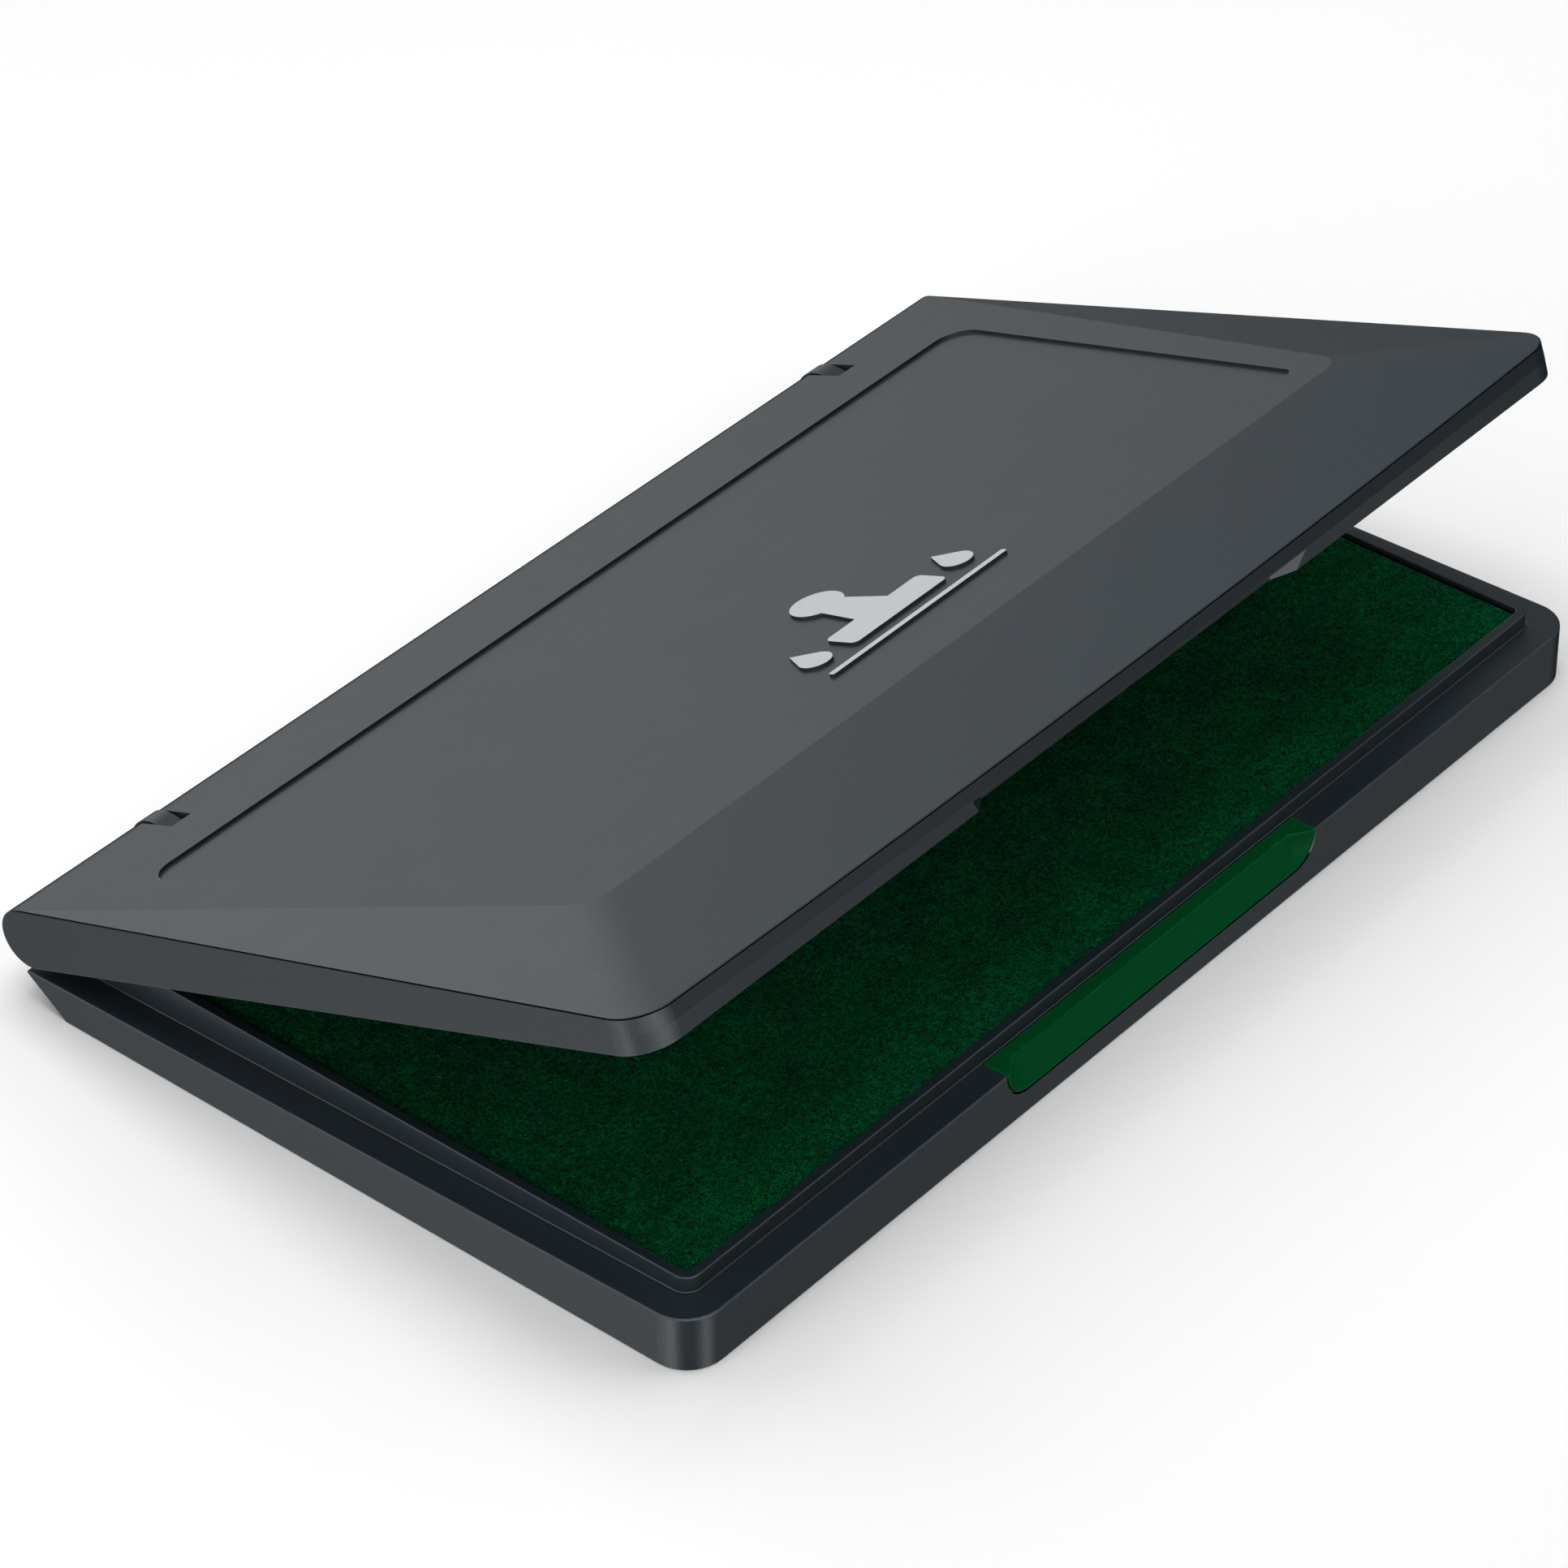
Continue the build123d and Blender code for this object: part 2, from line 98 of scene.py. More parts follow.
def glow(tree, azimuth, elevation, sharpness, strength):
    """What a soft glow gives each direction of the surround: most at its middle, narrower if sharper."""
    towards = tree.nodes.new("ShaderNodeVectorMath")
    towards.operation = "DOT_PRODUCT"
    tree.links.new(tree.nodes["Texture Coordinate"].outputs["Generated"], towards.inputs[0])
    towards.inputs[1].default_value = direction(azimuth, elevation)
    light = towards.outputs["Value"]
    for operation, value in (("MAXIMUM", 0.0), ("POWER", sharpness), ("MULTIPLY", strength)):
        step = tree.nodes.new("ShaderNodeMath")
        step.operation = operation
        tree.links.new(light, step.inputs[0])
        step.inputs[1].default_value = value
        light = step.outputs["Value"]
    return light


def make_surround():
    """A world with a few soft glows round the ink pad, seen only as sheen on its surfaces."""
    world = bpy.data.worlds.new("surround")
    world.use_nodes = True
    tree = world.node_tree
    tree.nodes.new("ShaderNodeTexCoord")
    backdrop = tree.nodes["Background"]
    backdrop.inputs["Color"].default_value = (1.0, 1.0, 1.0, 1.0)
    overhead = glow(tree, 0, 90, sharpness=4, strength=1.6)
    behind = glow(tree, 55, 8, sharpness=20, strength=0.7)
    above_behind = glow(tree, 75, 24, sharpness=20, strength=2.2)
    behind_left = glow(tree, 120, 30, sharpness=20, strength=2.4)
    left = glow(tree, 170, 10, sharpness=12, strength=2.8)
    front_left = glow(tree, 225, 15, sharpness=12, strength=4.0)
    front = glow(tree, 270, 10, sharpness=12, strength=5.0)
    low_left = glow(tree, 150, -37, sharpness=25, strength=1.5)
    low_corner_left = glow(tree, 182, -37, sharpness=80, strength=7.0)
    low_corner_right = glow(tree, 268, -37, sharpness=80, strength=5.5)
    low_right = glow(tree, 320, -37, sharpness=40, strength=0.5)
    total = overhead
    round_about = (behind, above_behind, behind_left, left, front_left, front)
    from_below = (low_left, low_corner_left, low_corner_right, low_right)
    for light in round_about + from_below:
        added = tree.nodes.new("ShaderNodeMath")
        added.operation = "ADD"
        tree.links.new(total, added.inputs[0])
        tree.links.new(light, added.inputs[1])
        total = added.outputs["Value"]
    tree.links.new(total, backdrop.inputs["Strength"])
    world.cycles_visibility.diffuse = False
    bpy.context.scene.world = world
    bpy.context.scene.view_settings.view_transform = "Standard"


def make_floor():
    """A plain pale floor, unseen in reflections, that glows where the lamps no longer reach."""
    far = FLOOR_REACH
    corners = [(-far, -far, 0), (far, -far, 0), (far, far, 0), (-far, far, 0)]
    mesh = bpy.data.meshes.new("floor")
    mesh.from_pydata(corners, [], [(0, 1, 2, 3)])
    floor = bpy.data.objects.new("floor", mesh)
    bpy.context.scene.collection.objects.link(floor)
    look = Look("floor_paper", roughness=0.9, specular=0.0)
    paper = look.two_tone((0.93, 0.93, 0.93), (0.90, 0.90, 0.90), look.noise(300 * MM))
    look.link(paper, "Base Color")
    spread = look.node("ShaderNodeVectorMath", operation="LENGTH")
    look.feed(spread, 0, look.place)
    far_glow = look.span(spread.outputs["Value"], 0.0, FLOOR_GLOW, FLOOR_GLOW_FROM, FLOOR_GLOW_FULL)
    look.shader.inputs["Emission Color"].default_value = (1.0, 1.0, 1.0, 1.0)
    look.link(far_glow, "Emission Strength")
    floor.data.materials.append(look.material)
    floor.visible_glossy = False
    floor.visible_shadow = False


# ------------------------------------------------------------------ materials
# A Mix node has sockets of the same names for numbers, vectors and colours: these are the colour ones.
MIX_COLOUR_A = 6
MIX_COLOUR_B = 7
MIX_COLOUR_RESULT = 2


class Look:
    """A procedural material: one Principled shader with its colour, roughness and bump fed by nodes."""

    def __init__(self, name, roughness, specular=0.5, metallic=0.0, sheen=0.0):
        self.material = bpy.data.materials.new(name)
        self.material.use_nodes = True
        self.tree = self.material.node_tree
        self.shader = self.tree.nodes["Principled BSDF"]
        self.shader.inputs["Roughness"].default_value = roughness
        self.shader.inputs["Specular IOR Level"].default_value = specular
        self.shader.inputs["Metallic"].default_value = metallic
        self.shader.inputs["Sheen Weight"].default_value = sheen
        self.place = self.tree.nodes.new("ShaderNodeTexCoord").outputs["Object"]

    def node(self, kind, **settings):
        made = self.tree.nodes.new(kind)
        for key, value in settings.items():
            setattr(made, key, value)
        return made

    def feed(self, node, socket, source):
        """Gives a node's socket a constant, or links it to another node's output."""
        if isinstance(source, bpy.types.NodeSocket):
            self.tree.links.new(source, node.inputs[socket])
        else:
            node.inputs[socket].default_value = source

    def link(self, source, socket):
        self.tree.links.new(source, self.shader.inputs[socket])

    def stretched(self, turn, stretch):
        """Object coordinates turned about Z and squeezed along one axis, for strands and scratches."""
        mapping = self.node("ShaderNodeMapping")
        self.feed(mapping, "Vector", self.place)
        self.feed(mapping, "Rotation", (0.0, 0.0, math.radians(turn)))
        self.feed(mapping, "Scale", (1.0 / stretch, 1.0, 1.0))
        return mapping.outputs["Vector"]

    def noise(self, size, detail=3.0, rough=0.5, distortion=0.0, place=None):
        """Soft noise whose features are about size across."""
        made = self.node("ShaderNodeTexNoise")
        self.feed(made, "Vector", place or self.place)
        self.feed(made, "Scale", 1.0 / size)
        self.feed(made, "Detail", detail)
        self.feed(made, "Roughness", rough)
        self.feed(made, "Distortion", distortion)
        return made.outputs["Fac"]

    def cells(self, size):
        """Distance field of small random cells about size across, like an eroded mould surface."""
        made = self.node("ShaderNodeTexVoronoi")
        self.feed(made, "Vector", self.place)
        self.feed(made, "Scale", 1.0 / size)
        return made.outputs["Distance"]

    def span(self, source, low, high, start=0.35, stop=0.65):
        """Stretches source from start..stop onto low..high."""
        made = self.node("ShaderNodeMapRange")
        self.feed(made, "Value", source)
        for socket, value in (("From Min", start), ("From Max", stop), ("To Min", low), ("To Max", high)):
            self.feed(made, socket, value)
        return made.outputs["Result"]

    def maths(self, operation, a, b):
        made = self.node("ShaderNodeMath", operation=operation)
        self.feed(made, 0, a)
        self.feed(made, 1, b)
        return made.outputs["Value"]

    def two_tone(self, dark, light, factor):
        """A colour between dark and light."""
        made = self.node("ShaderNodeMix", data_type="RGBA")
        self.feed(made, "Factor", factor)
        for index, colour in ((MIX_COLOUR_A, dark), (MIX_COLOUR_B, light)):
            if isinstance(colour, bpy.types.NodeSocket):
                self.tree.links.new(colour, made.inputs[index])
            else:
                made.inputs[index].default_value = (*colour, 1.0)
        return made.outputs[MIX_COLOUR_RESULT]

    def bump(self, height, depth):
        """Bump of depth metres."""
        made = self.node("ShaderNodeBump")
        self.feed(made, "Height", height)
        self.feed(made, "Distance", depth)
        return made.outputs["Normal"]

    def facing(self):
        """The parts of the object's own normal."""
        parts = self.node("ShaderNodeSeparateXYZ")
        self.feed(parts, 0, self.node("ShaderNodeTexCoord").outputs["Normal"])
        return parts

    def upness(self):
        """Height component of the object's own normal: 1 on faces that look up."""
        return self.facing().outputs["Z"]

    def slopes(self, low, high):
        """1 on faces that lean between flat and upright, as rounded edges do, unless they face back."""
        facing = self.facing()
        low_side = self.span(facing.outputs["Z"], 0.0, 1.0, low, low + 0.12)
        high_side = self.span(facing.outputs["Z"], 1.0, 0.0, high - 0.06, high)
        ahead = self.span(facing.outputs["Y"], 1.0, 0.0, 0.8, 0.9)
        return self.maths("MULTIPLY", self.maths("MULTIPLY", low_side, high_side), ahead)

    def above(self, height):
        """1 above a height and 0 below it."""
        spot = self.node("ShaderNodeSeparateXYZ")
        self.feed(spot, 0, self.place)
        return self.span(spot.outputs["Z"], 0.0, 1.0, height - 0.2 * MM, height)

    def edges(self, width, start, stop):
        """1 along sharp edges and 0 on open surfaces, about width wide."""
        rounded = self.node("ShaderNodeBevel", samples=6)
        self.feed(rounded, "Radius", width)
        plain = self.node("ShaderNodeNewGeometry")
        dot = self.node("ShaderNodeVectorMath", operation="DOT_PRODUCT")
        self.feed(dot, 0, rounded.outputs["Normal"])
        self.feed(dot, 1, plain.outputs["Normal"])
        return self.span(dot.outputs["Value"], 1.0, 0.0, start, stop)


# Painted shade: the near-black tone painted on rounded edges that lie in shade.
PAINTED_SHADE = (0.001, 0.002, 0.003)


def moulded_plastic(name, dark, light, wear_and_highlight, rounded, roughness, grain, grain_depth, specular=0.5):
    """Injection-moulded plastic: faint flow marks, fine eroded grain, rubbed edges lightened partly as a
    painted highlight, and hairline scuffs.

    rounded describes the narrow rounded edges: the tone painted on them (a painted highlight on the case
    and tray, painted shade on the lid, a green near its own on the grip) and gloss, the slopes they lie
    between (low and high) and foot, the height they are seen from. Below that height they get painted shade
    and are dull.
    """
    look = Look(name, roughness, specular)
    flow = look.noise(35 * MM, detail=2.0, distortion=0.6)
    speckle = look.noise(0.5 * MM, detail=2.0)
    tone = look.maths("ADD", look.maths("MULTIPLY", speckle, 0.35), look.span(flow, 0.0, 0.65))
    body = look.two_tone(dark, light, tone)
    # Rubbed sharp edges take the worn colour: real wear, and a painted highlight along them as well.
    rub_and_highlight = look.maths("MULTIPLY", look.edges(0.5 * MM, 0.70, 0.97), look.span(look.noise(3 * MM), 0.35, 0.9))
    # On the narrow rounded edges the colour gives way to the tone that rounded sets: a painted highlight on
    # some plastics and painted shade on others. Below the foot height it is painted shade.
    rim = look.slopes(rounded["low"], rounded["high"])
    above_painted_shade = look.above(rounded["foot"])
    painted_edge_tone = look.two_tone(PAINTED_SHADE, rounded["tone"], above_painted_shade)
    look.link(look.two_tone(look.two_tone(body, wear_and_highlight, rub_and_highlight), painted_edge_tone, rim), "Base Color")
    if rounded["gloss"] != specular:
        rim_gloss = look.maths("MULTIPLY", above_painted_shade, rounded["gloss"])
        look.link(look.span(rim, specular, rim_gloss, 0.0, 1.0), "Specular IOR Level")

    scuff = look.maths(
        "MULTIPLY",
        look.span(look.noise(0.25 * MM, detail=1.0, place=look.stretched(35, 60)), 0.0, 1.0, 0.62, 0.75),
        look.span(look.noise(18 * MM), 0.0, 1.0, 0.5, 0.7),
    )
    satin = look.span(look.noise(6 * MM), roughness - 0.006, roughness + 0.006)
    look.link(look.maths("ADD", satin, look.maths("MULTIPLY", scuff, -0.08)), "Roughness")
    pits = look.bump(look.cells(grain), grain_depth)
    look.link(pits, "Normal")
    return look.material


def felt(name, dark, light, straw):
    """Wool felt soaked with ink: fine curled threads over hollows darkened with painted shade, with
    yellower patches.
    """
    look = Look(name, 0.95, specular=0.02, sheen=0.03)
    look.shader.inputs["Sheen Roughness"].default_value = 0.6
    look.shader.inputs["Sheen Tint"].default_value = (0.2, 0.8, 0.35, 1.0)
    curls = None
    for size, turn in ((0.45 * MM, 70), (0.60 * MM, 20), (0.80 * MM, 110)):
        field = look.noise(size, detail=2.0, distortion=1.5, place=look.stretched(turn, 1.4))
        away = look.maths("ABSOLUTE", look.maths("SUBTRACT", field, 0.5), 0.0)
        thread = look.span(away, 1.0, 0.0, 0.0, 0.035)
        curls = thread if curls is None else look.maths("MAXIMUM", curls, thread)
    mat = look.span(look.noise(0.5 * MM, detail=3.0, rough=0.7), 0.0, 1.0, 0.42, 0.72)
    clouds = look.span(look.noise(6 * MM, detail=4.0), 0.8, 1.15)
    woven = look.maths("ADD", look.maths("MULTIPLY", curls, 0.85), look.maths("MULTIPLY", mat, 0.15))
    tone = look.maths("MULTIPLY", woven, clouds)
    patches = look.span(look.noise(1.6 * MM, detail=1.0), 0.0, 0.8, 0.62, 0.74)
    yellower = look.two_tone(light, straw, patches)
    # Where no thread lies the colour falls to dark: painted shade in the hollows of the relief.
    look.link(look.two_tone(dark, yellower, tone), "Base Color")
    look.link(look.span(curls, 0.99, 0.85), "Roughness")
    look.link(look.bump(woven, 0.16 * MM), "Normal")
    return look.material


def loose_fibre(name, dark, light):
    """Single fibres of the nap, each with its own tone."""
    look = Look(name, 0.75, specular=0.02)
    islands = look.node("ShaderNodeNewGeometry").outputs["Random Per Island"]
    look.link(look.two_tone(dark, light, islands), "Base Color")
    look.link(look.span(look.noise(0.4 * MM), 0.65, 0.85), "Roughness")
    return look.material


def foam(name, dark, light):
    """Open-celled sponge that holds the ink."""
    look = Look(name, 0.9, specular=0.2)
    cells = look.cells(0.7 * MM)
    look.link(look.two_tone(dark, light, cells), "Base Color")
    look.link(look.span(cells, 0.7, 0.95, 0.0, 0.6), "Roughness")
    look.link(look.bump(cells, 0.2 * MM), "Normal")
    return look.material


def board(name, dark, light):
    """Grey backing sheet with a pressed fibre grain."""
    look = Look(name, 0.8, specular=0.3)
    grain = look.noise(0.6 * MM, detail=4.0, place=look.stretched(0, 5.0))
    look.link(look.two_tone(dark, light, grain), "Base Color")
    look.link(look.span(grain, 0.7, 0.9), "Roughness")
    look.link(look.bump(grain, 0.03 * MM), "Normal")
    return look.material


def drawn_steel(name):
    """Drawn wire: bright, with fine lines along its length and a little tarnish."""
    look = Look(name, 0.3, metallic=1.0)
    lines = look.noise(0.06 * MM, detail=2.0, place=look.stretched(0, 80.0))
    tarnish = look.span(look.noise(1.5 * MM), 0.0, 0.6)
    bright = look.two_tone((0.48, 0.48, 0.50), (0.62, 0.62, 0.63), lines)
    look.link(look.two_tone(bright, (0.30, 0.27, 0.24), tarnish), "Base Color")
    look.link(look.span(lines, 0.22, 0.42), "Roughness")
    look.link(look.bump(lines, 0.004 * MM), "Normal")
    return look.material


def silver_print(name):
    """Satin silver print on top, faintly brushed and rubbed darker at its edges; dark plastic down the
    sides.
    """
    look = Look(name, 0.45, specular=0.4)
    brushed = look.noise(0.12 * MM, detail=2.0, place=look.stretched(0, 14.0))
    body = look.two_tone((0.40, 0.41, 0.42), (0.52, 0.53, 0.54), brushed)
    rim = look.maths("MULTIPLY", look.edges(0.12 * MM, 0.75, 0.98), 0.5)
    face = look.span(look.maths("ABSOLUTE", look.upness(), 0.0), 0.0, 1.0, 0.55, 0.75)
    silver = look.two_tone(body, (0.24, 0.25, 0.26), rim)
    look.link(look.two_tone((0.012, 0.018, 0.024), silver, face), "Base Color")
    look.link(look.span(brushed, 0.38, 0.52), "Roughness")
    look.link(look.bump(brushed, 0.006 * MM), "Normal")
    return look.material


def paint(node, material):
    """Gives a CAD node its material in every slot."""
    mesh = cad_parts[node].data
    if not mesh.materials:
        mesh.materials.append(material)
    for index in range(len(mesh.materials)):
        mesh.materials[index] = material


# ------------------------------------------------------------------ felt pad
def new_piece(name, points, faces, material):
    """A smooth-shaded mesh object with one material."""
    mesh = bpy.data.meshes.new(name)
    mesh.from_pydata(points, [], faces)
    mesh.update()
    mesh.shade_smooth()
    mesh.materials.append(material)
    piece = bpy.data.objects.new(name, mesh)
    bpy.context.scene.collection.objects.link(piece)
    return piece


def matted_heights(columns, rows, cell, rng, fibres, length):
    """Heights 0..1 of felt: short bent fibres laid over each other on a raster of cells."""
    heights = np.zeros((rows, columns))
    steps = int(length / cell) * 2
    x = rng.uniform(0, columns, fibres)
    y = rng.uniform(0, rows, fibres)
    heading = rng.uniform(0, 2 * math.pi, fibres)
    bend = rng.normal(0, 0.35, fibres)
    level = rng.uniform(0.2, 1.0, fibres)
    for step in range(steps):
        arch = math.sin(math.pi * (step + 0.5) / steps)
        inside = (x >= 0) & (x < columns) & (y >= 0) & (y < rows)
        cells = (y[inside].astype(int), x[inside].astype(int))
        np.maximum.at(heights, cells, (level * (0.4 + 0.6 * arch))[inside])
        x = x + 0.5 * np.cos(heading)
        y = y + 0.5 * np.sin(heading)
        heading = heading + bend
    return heights


def smoothed(field, times):
    """Averages each cell with its neighbours."""
    for _ in range(times):
        padded = np.pad(field, 1, mode="edge")
        beside = padded[:-2, 1:-1] + padded[2:, 1:-1] + padded[1:-1, :-2] + padded[1:-1, 2:]
        field = (4 * field + beside) / 8
    return field


def pad_surface(low, high, cell, edge, corner):
    """Raster over the pad, pulled into round corners.

    Gives x and y, how far each point has rolled down at the edge, and its distance from the border.
    """
    columns = int((high.x - low.x) / cell) + 1
    rows = int((high.y - low.y) / cell) + 1
    x, y = np.meshgrid(np.linspace(low.x, high.x, columns), np.linspace(low.y, high.y, rows))
    middle = (low + high) / 2
    inner_x = (high.x - low.x) / 2 - corner
    inner_y = (high.y - low.y) / 2 - corner
    across = np.abs(x - middle.x) - inner_x
    along = np.abs(y - middle.y) - inner_y
    reach = np.hypot(across, along)
    beyond = (across > 0) & (along > 0) & (reach > corner)
    pull = np.where(beyond, corner / np.maximum(reach, 1e-9), 1.0)
    x = np.where(beyond, middle.x + np.sign(x - middle.x) * (inner_x + across * pull), x)
    y = np.where(beyond, middle.y + np.sign(y - middle.y) * (inner_y + along * pull), y)
    border = np.minimum.reduce([x - low.x, high.x - x, y - low.y, high.y - y])
    rolled = edge * (1 - np.sqrt(1 - (1 - np.clip(border / edge, 0, 1)) ** 2))
    return x, y, rolled, border


def slab_mesh(x, y, top, bottom):
    """Closed mesh of a raster top, its side wall and a flat underside."""
    rows, columns = x.shape
    points = [tuple(p) for p in np.stack([x, y, top], -1).reshape(-1, 3)]
    index = np.arange(rows * columns).reshape(rows, columns)
    quads = np.stack([index[:-1, :-1], index[:-1, 1:], index[1:, 1:], index[1:, :-1]], -1)
    faces = [tuple(q) for q in quads.reshape(-1, 4).tolist()]
    ring = [*index[0, :-1], *index[:-1, -1], *index[-1, :0:-1], *index[:0:-1, 0]]
    ring = [int(i) for i in ring]
    foot = [len(points) + i for i in range(len(ring))]
    points += [(points[i][0], points[i][1], bottom) for i in ring]
    for i in range(len(ring)):
        j = (i + 1) % len(ring)
        faces.append((ring[j], ring[i], foot[i], foot[j]))
    faces.append(tuple(reversed(foot)))
    return points, faces


def make_felt_cover(material, rng):
    """The felt sheet that is inked: matted relief, slightly crowned, rolled down along its cut edge.

    Gives the heights of its top as a raster.
    """
    cell = 0.42 * MM
    edge = 0.45 * MM
    corner = 0.7 * MM
    fibres = 90000
    fibre_length = 1.6 * MM
    relief_depth = 0.24 * MM
    crown_height = 0.06 * MM
    crown_width = 7 * MM
    wave_height = 0.03 * MM
    least_thickness = 0.05 * MM

    low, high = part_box("pad_cover")
    x, y, rolled, border = pad_surface(low, high, cell, edge, corner)
    rows, columns = x.shape
    relief = smoothed(matted_heights(columns, rows, cell, rng, fibres, fibre_length), 1)
    waves = smoothed(rng.normal(0, 1, (rows, columns)), 60)
    waves = waves / np.abs(waves).max()
    crown = np.clip(border / crown_width, 0, 1)
    crown = crown * crown * (3 - 2 * crown)
    top = high.z - rolled - relief_depth * (1 - relief) - crown_height * (1 - crown) + wave_height * waves
    points, faces = slab_mesh(x, y, np.maximum(top, low.z + least_thickness), low.z)
    cover = new_piece("felt_cover", points, faces, material)
    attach(cover, "case")
    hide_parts("pad_cover")
    return top


def fibre_spines(rng, top, count, rings):
    """Lines along loose fibres that start at random on the felt, bend and arch a little over its top."""
    inset = 1.0 * MM
    sunk = 0.02 * MM

    low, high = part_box("pad_cover")
    rows, columns = top.shape
    start_x = rng.uniform(low.x + inset, high.x - inset, count)
    start_y = rng.uniform(low.y + inset, high.y - inset, count)
    heading = rng.uniform(0, 2 * math.pi, count)
    bend = rng.normal(0, 0.9, count)
    length = rng.uniform(0.5 * MM, 1.1 * MM, count)
    rise = rng.uniform(0.02 * MM, 0.16 * MM, count)
    stride = (length / (rings - 1))[:, None]
    here = np.stack([start_x, start_y], -1)
    spines = []
    for ring in range(rings):
        share = ring / (rings - 1)
        across = (here[:, 0] - low.x) / (high.x - low.x)
        along = (here[:, 1] - low.y) / (high.y - low.y)
        column = np.clip((across * (columns - 1)).astype(int), 0, columns - 1)
        row = np.clip((along * (rows - 1)).astype(int), 0, rows - 1)
        lift = rise * math.sin(math.pi * (0.12 + 0.76 * share)) - sunk
        spines.append(np.column_stack([here, top[row, column] + lift]))
        here = here + stride * np.stack([np.cos(heading), np.sin(heading)], -1)
        heading = heading + bend
    return np.stack(spines, 1)


def make_nap(material, rng, top):
    """Loose fibres that stand a little out of the felt, as thin bent three-sided strands."""
    count = 14000
    rings = 3
    radius = 0.03 * MM

    spine = fibre_spines(rng, top, count, rings)
    run = np.gradient(spine, axis=1)
    run /= np.linalg.norm(run, axis=2, keepdims=True)
    side = np.cross(run, (0.0, 0.0, 1.0))
    side /= np.linalg.norm(side, axis=2, keepdims=True)
    up = np.cross(side, run)
    taper = np.sin(np.pi * np.linspace(0.15, 0.85, rings))[None, :, None]
    corners = []
    for turn in (90, 210, 330):
        a = math.radians(turn)
        corners.append(spine + radius * taper * (math.cos(a) * side + math.sin(a) * up))
    points = np.stack(corners, 2).reshape(-1, 3)

    base = (np.arange(count) * rings * 3)[:, None]
    quads = []
    for ring in range(rings - 1):
        for corner in range(3):
            a, b = ring * 3 + corner, ring * 3 + (corner + 1) % 3
            quads.append(base + np.array([a, b, b + 3, a + 3]))
    faces = [tuple(q) for q in np.concatenate(quads).tolist()]
    last = (rings - 1) * 3
    faces += [tuple(t) for t in (base + np.array([2, 1, 0])).tolist()]
    faces += [tuple(t) for t in (base + np.array([last, last + 1, last + 2])).tolist()]
    nap = new_piece("felt_nap", [tuple(p) for p in points.tolist()], faces, material)
    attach(nap, "case")


def make_sponge(material, rng):
    """The sponge core under the felt: a soft slab that swells a little between its corners."""
    cell = 1.2 * MM
    edge = 0.6 * MM
    corner = 0.7 * MM
    wave_height = 0.05 * MM

    low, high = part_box("ink_core")
    x, y, rolled, _ = pad_surface(low, high, cell, edge, corner)
    waves = smoothed(rng.normal(0, 1, x.shape), 12)
    waves = waves / np.abs(waves).max()
    top = high.z - rolled - wave_height * (1 - waves)
    points, faces = slab_mesh(x, y, top, low.z)
    sponge = new_piece("ink_sponge", points, faces, material)
    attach(sponge, "case")
    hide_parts("ink_core")


# ------------------------------------------------------------------ the whole
make_camera()
make_surround()
make_floor()
softbox("top_lamp", 0, 90, 2.00, away=2.0)
softbox("back_lamp", 90, 60, 1.70)
softbox("right_lamp", 0, 60, 0.85)
softbox("left_lamp", 180, 60, 0.85)
softbox("low_left_lamp", 180, 12, 2.00)
softbox("low_front_lamp", 210, 12, 0.55)
softbox("front_right_lamp", 315, 35, 1.20)

SLATE = dict(
    dark=(0.0070, 0.0132, 0.0185),
    light=(0.0080, 0.0150, 0.0208),
    # The worn colour is real wear on the edges and also a painted highlight there.
    wear_and_highlight=(0.035, 0.045, 0.052),
    grain=0.28 * MM,
    grain_depth=0.008 * MM,
)
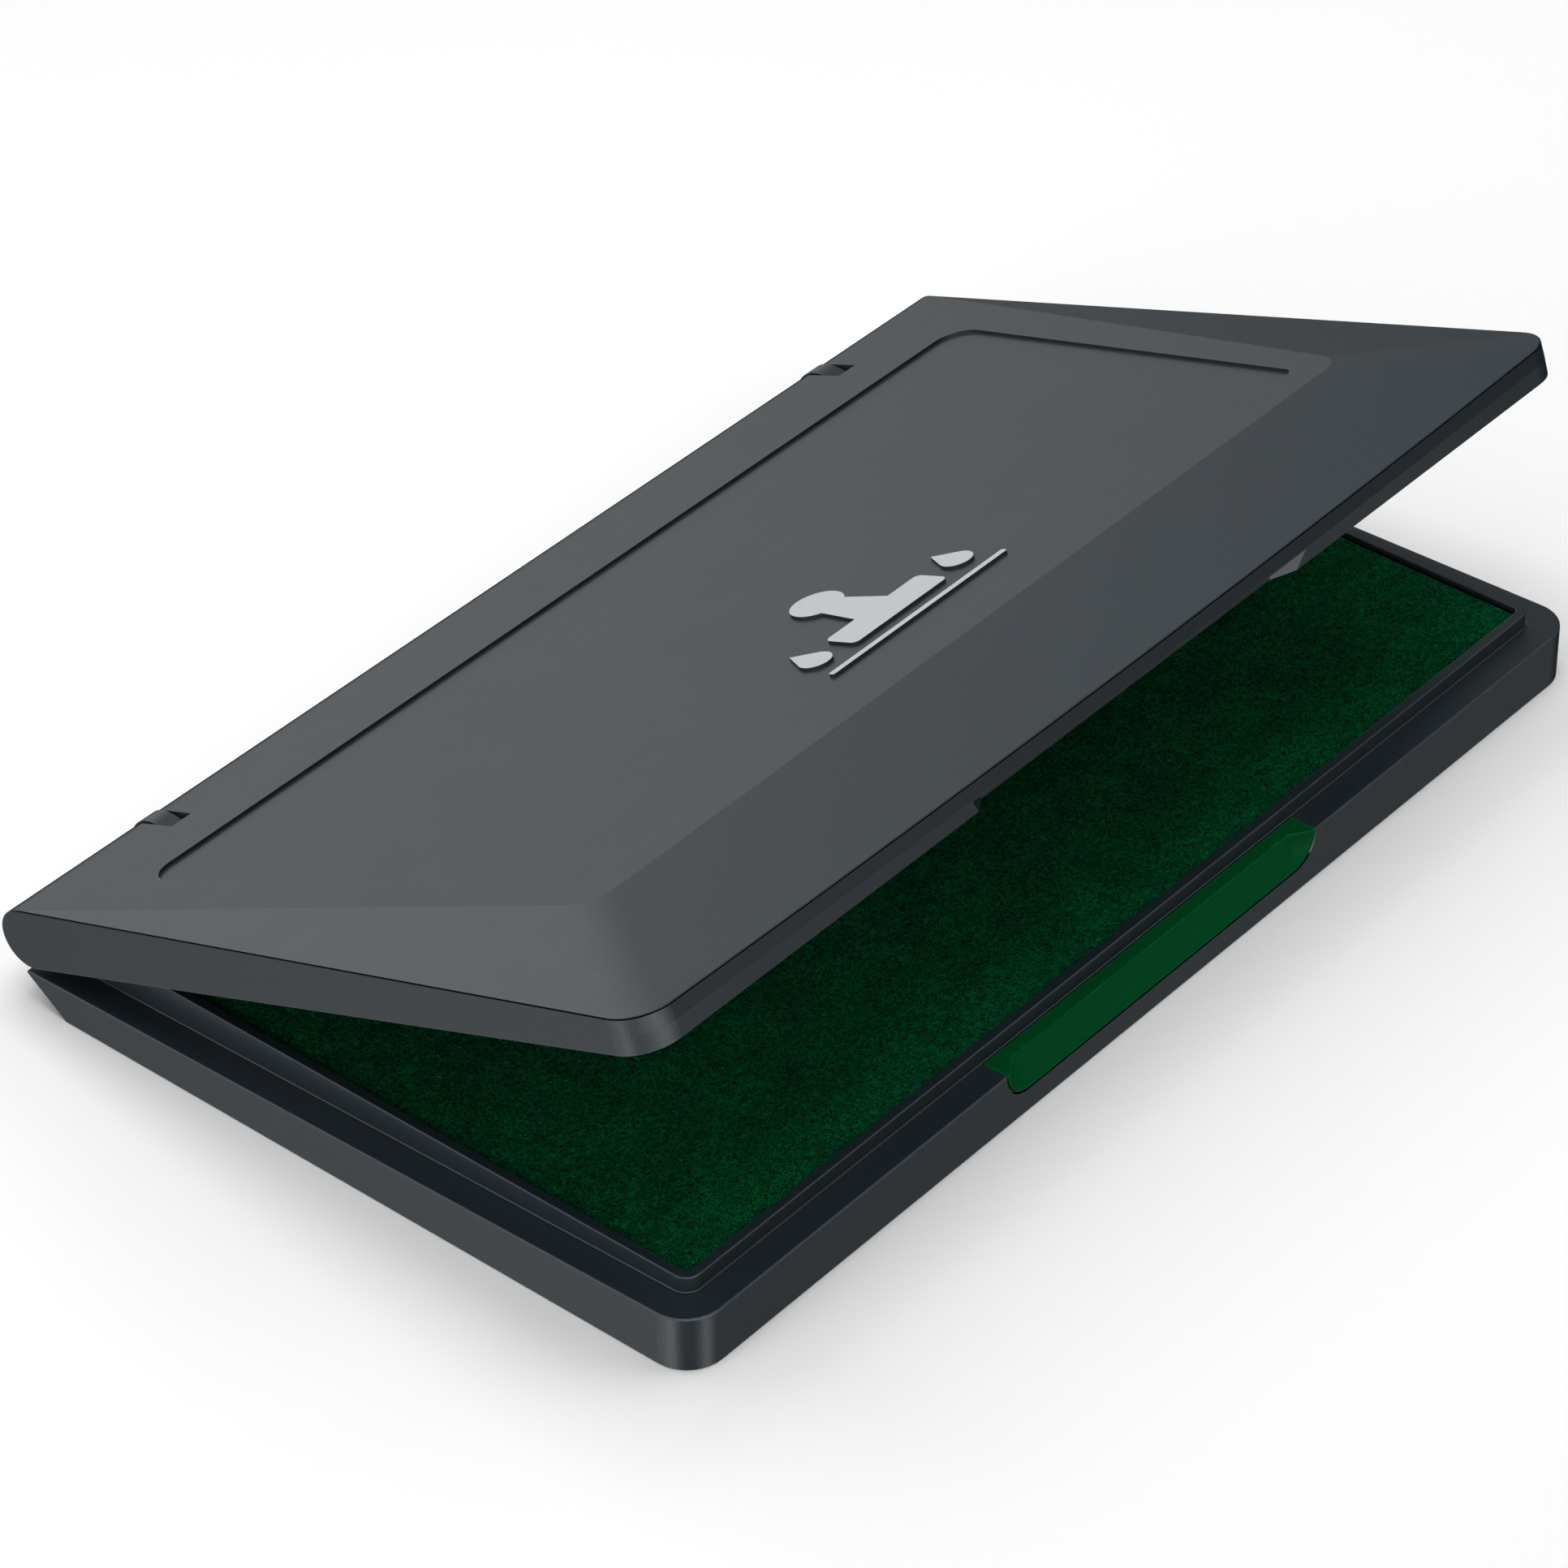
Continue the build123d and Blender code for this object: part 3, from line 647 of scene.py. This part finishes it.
# Tones painted on rounded edges: a painted highlight on the case and tray with painted shade below the foot
# height, painted shade on all the lid's and liner's, and on the grip a green near its own.
PAINTED_HIGHLIGHT_EDGE = dict(tone=(0.030, 0.038, 0.046), gloss=0.40, low=0.25, high=0.97, foot=4.6 * MM)
PAINTED_SHADE_EDGE = dict(tone=PAINTED_SHADE, gloss=0.0, low=0.30, high=0.88, foot=0.0)
GRIP_EDGE = dict(tone=(0.0, 0.068, 0.017), gloss=0.015, low=0.25, high=0.97, foot=0.0)
lid_look = moulded_plastic("lid_slate", rounded=PAINTED_SHADE_EDGE, roughness=0.40, **SLATE)
case_look = moulded_plastic("case_slate", rounded=PAINTED_HIGHLIGHT_EDGE, roughness=0.40, **SLATE)
tray_look = moulded_plastic("tray_slate", rounded=PAINTED_HIGHLIGHT_EDGE, roughness=0.38, **SLATE)
liner_look = moulded_plastic("liner_slate", rounded=PAINTED_SHADE_EDGE, roughness=0.45, **SLATE)
grip_look = moulded_plastic(
    "grip_green",
    dark=(0.0, 0.056, 0.0135),
    light=(0.0, 0.070, 0.0175),
    # The worn green is a little wear and mostly a painted highlight along the grip's crease and sharp
    # edges.
    wear_and_highlight=(0.006, 0.18, 0.050),
    rounded=GRIP_EDGE,
    roughness=0.45,
    grain=0.25 * MM,
    grain_depth=0.004 * MM,
    specular=0.015,
)
for node, material in {
    "base_shell": case_look,
    "pad_tray": tray_look,
    "lid_shell": lid_look,
    "lid_liner": liner_look,
    "grip_insert": grip_look,
    "lid_emblem": silver_print("emblem_silver"),
    "pad_backing": board("backing_board", (0.10, 0.11, 0.10), (0.20, 0.21, 0.19)),
    "hinge_pin_left": drawn_steel("pin_steel_left"),
    "hinge_pin_right": drawn_steel("pin_steel_right"),
}.items():
    paint(node, material)

sponge_look = foam("ink_foam", dark=(0.0, 0.012, 0.004), light=(0.0, 0.05, 0.018))
felt_look = felt(
    "ink_felt",
    # dark is painted shade for the hollows between threads.
    dark=(0.0, 0.006, 0.0025),
    light=(0.0, 0.28, 0.092),
    straw=(0.010, 0.34, 0.045),
)
fibre_look = loose_fibre("ink_fibre", dark=(0.0, 0.02, 0.008), light=(0.004, 0.36, 0.125))

rng = np.random.default_rng(7)
make_sponge(sponge_look, rng)
felt_top = make_felt_cover(felt_look, rng)
make_nap(fibre_look, rng, felt_top)
